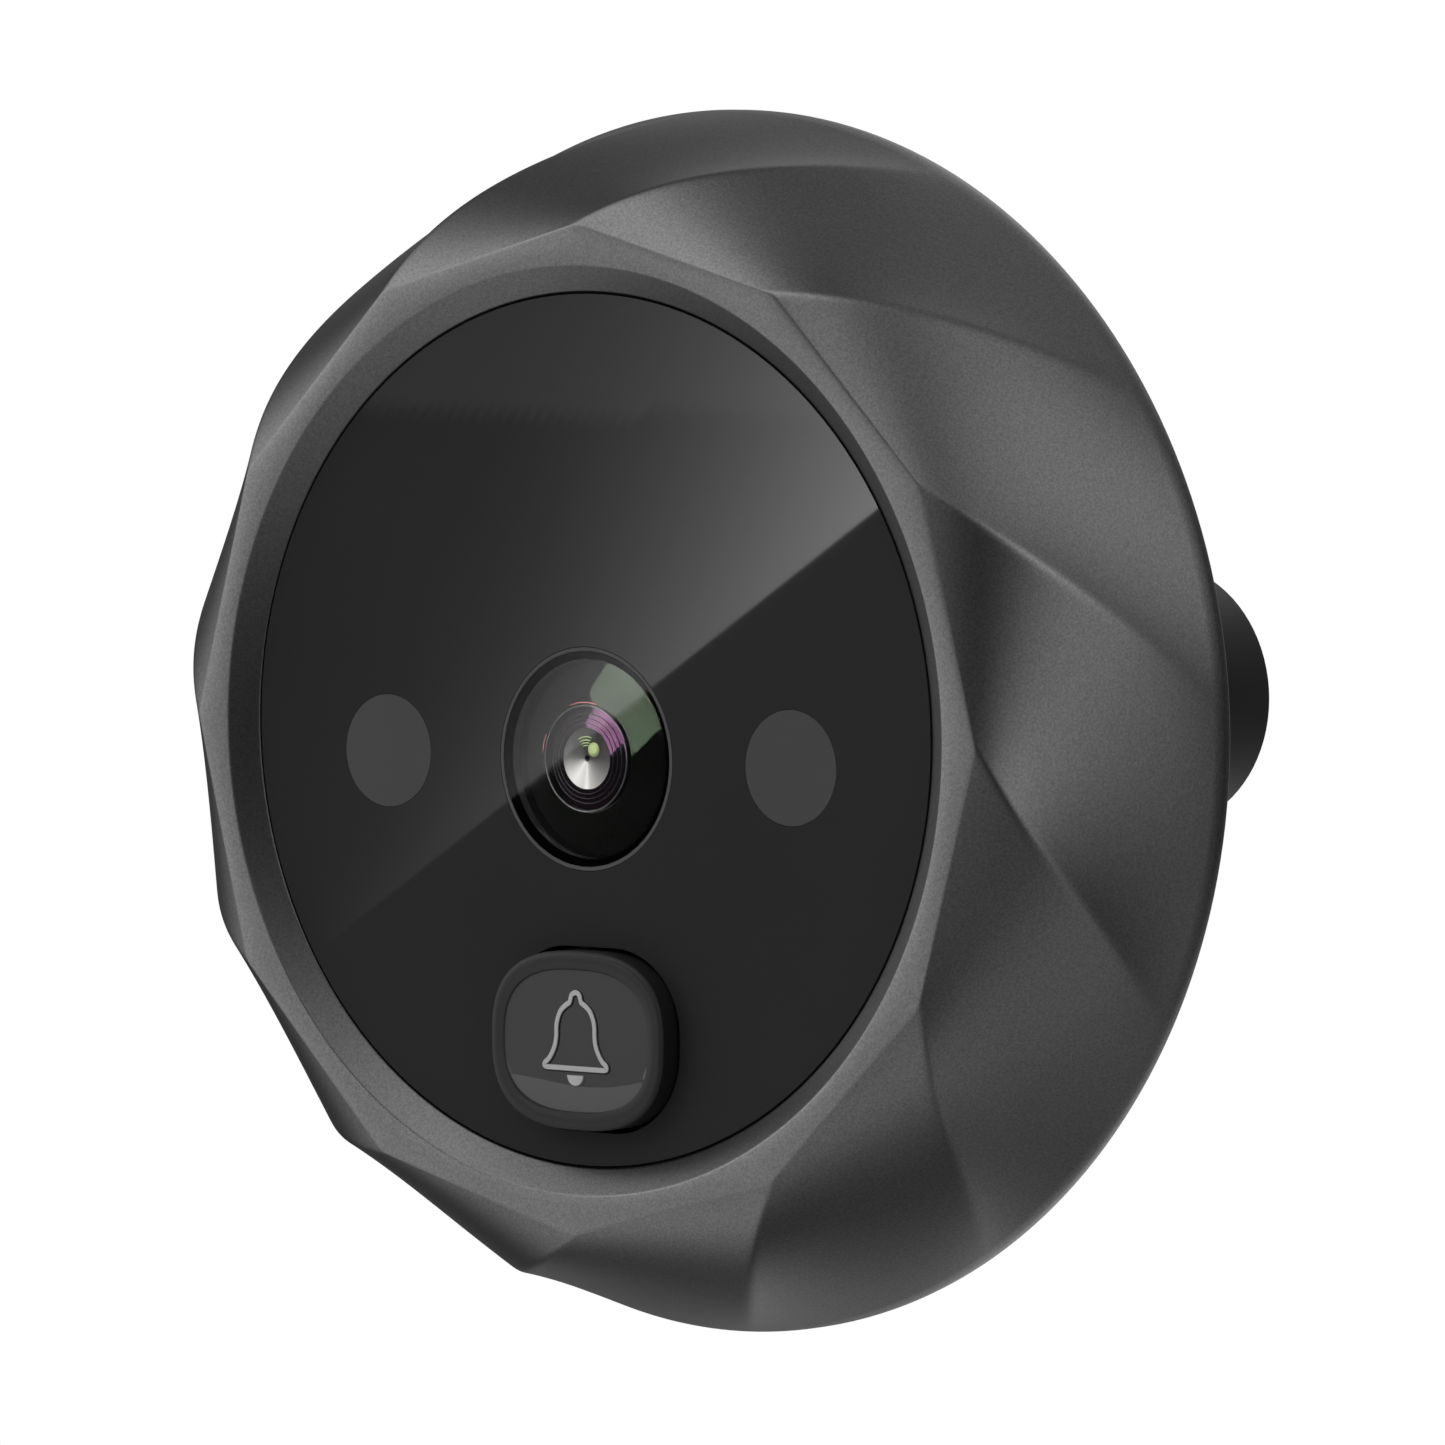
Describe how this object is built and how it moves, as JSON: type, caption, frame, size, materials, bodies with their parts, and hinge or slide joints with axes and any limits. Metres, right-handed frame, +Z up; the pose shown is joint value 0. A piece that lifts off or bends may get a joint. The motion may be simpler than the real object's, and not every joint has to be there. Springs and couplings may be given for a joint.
{
  "type": "door viewer",
  "caption": "Outdoor unit of a digital door viewer: swirl-faceted bezel, camera, two infrared windows and a bell button on a short barrel.",
  "frame": {"origin": "where the barrel's axis meets the door face", "axes": "+Y along the barrel into the door, the camera looks along -Y, +Z is up"},
  "size_m": [0.057, 0.0461, 0.057],
  "materials": {
    "bezel_coat": "charcoal satin coat on a zinc casting",
    "cover_coat": "dark satin coat",
    "barrel_coat": "dark satin coat on a turned tube",
    "ring_coat": "fine grey line round the window",
    "black_rubber": "matt",
    "black_moulding": "fine spark texture",
    "foam": "closed-cell foam",
    "dark_steel": "black zinc",
    "bright_steel": "zinc",
    "panel_gloss": "polished black acrylic",
    "adhesive_tape": "foam tape",
    "clear_glass": "clear",
    "coated_glass": "anti-reflection coated",
    "filter_glass": "pale cyan",
    "lens_black": "turned and blacked",
    "stop_black": "flat black",
    "sensor": "silicon behind cover glass",
    "smoked_window": "smoked infrared window",
    "lamp_epoxy": "tinted epoxy",
    "button_gloss": "gloss dark grey",
    "bell_light": "translucent light grey",
    "silicone": "soft grey silicone",
    "switch_cap": "nylon",
    "spring_steel": "stainless",
    "board_green": "solder mask",
    "chip_black": "moulded epoxy",
    "socket_nylon": "natural nylon"
  },
  "bodies": {
    "housing": {"front_bezel": "bezel_coat", "rear_cover": "cover_coat", "rear_seal": "black_rubber", "board_frame": "black_moulding", "door_pad": "foam", "housing_screws": "dark_steel", "mounting_barrel": "barrel_coat", "barrel_screws": "dark_steel", "front_panel": "panel_gloss", "panel_tape": "adhesive_tape", "lens_ring": "ring_coat", "lens_window": "clear_glass", "lens_barrel": "lens_black", "lens_retainer": "lens_black", "lens_front_element": "coated_glass", "lens_aperture": "stop_black", "lens_rear_element": "coated_glass", "lens_holder": "black_moulding", "holder_screws": "bright_steel", "ir_cut_filter": "filter_glass", "image_sensor": "sensor", "ir_windows": "smoked_window", "ir_lamps": "lamp_epoxy", "ir_shrouds": "foam", "button_guide": "black_moulding", "button_seal": "silicone", "switch_body": "black_moulding", "switch_frame": "bright_steel", "switch_dome": "spring_steel", "main_board": "board_green", "board_chips": "chip_black", "board_screws": "bright_steel", "cable_socket": "socket_nylon"},
    "bell_button": {"bell_button": "button_gloss", "bell_inlay": "bell_light"},
    "switch_plunger": {"switch_plunger": "switch_cap"}
  },
  "joints": [
    {"name": "bell_press", "type": "slide", "parent": "housing", "child": "bell_button", "axis": [0, 1, 0], "range_m": [0, 0.0005], "stiffness_N_per_m": 1800, "springref_m": -0.0004, "deforming": ["button_seal"]},
    {"name": "plunger_press", "type": "slide", "parent": "housing", "child": "switch_plunger", "axis": [0, 1, 0], "range_m": [0, 0.0005], "deforming": ["switch_dome"]}
  ],
  "couplings": [
    {"joint": "plunger_press", "follows": "bell_press", "ratio": 1}
  ]
}
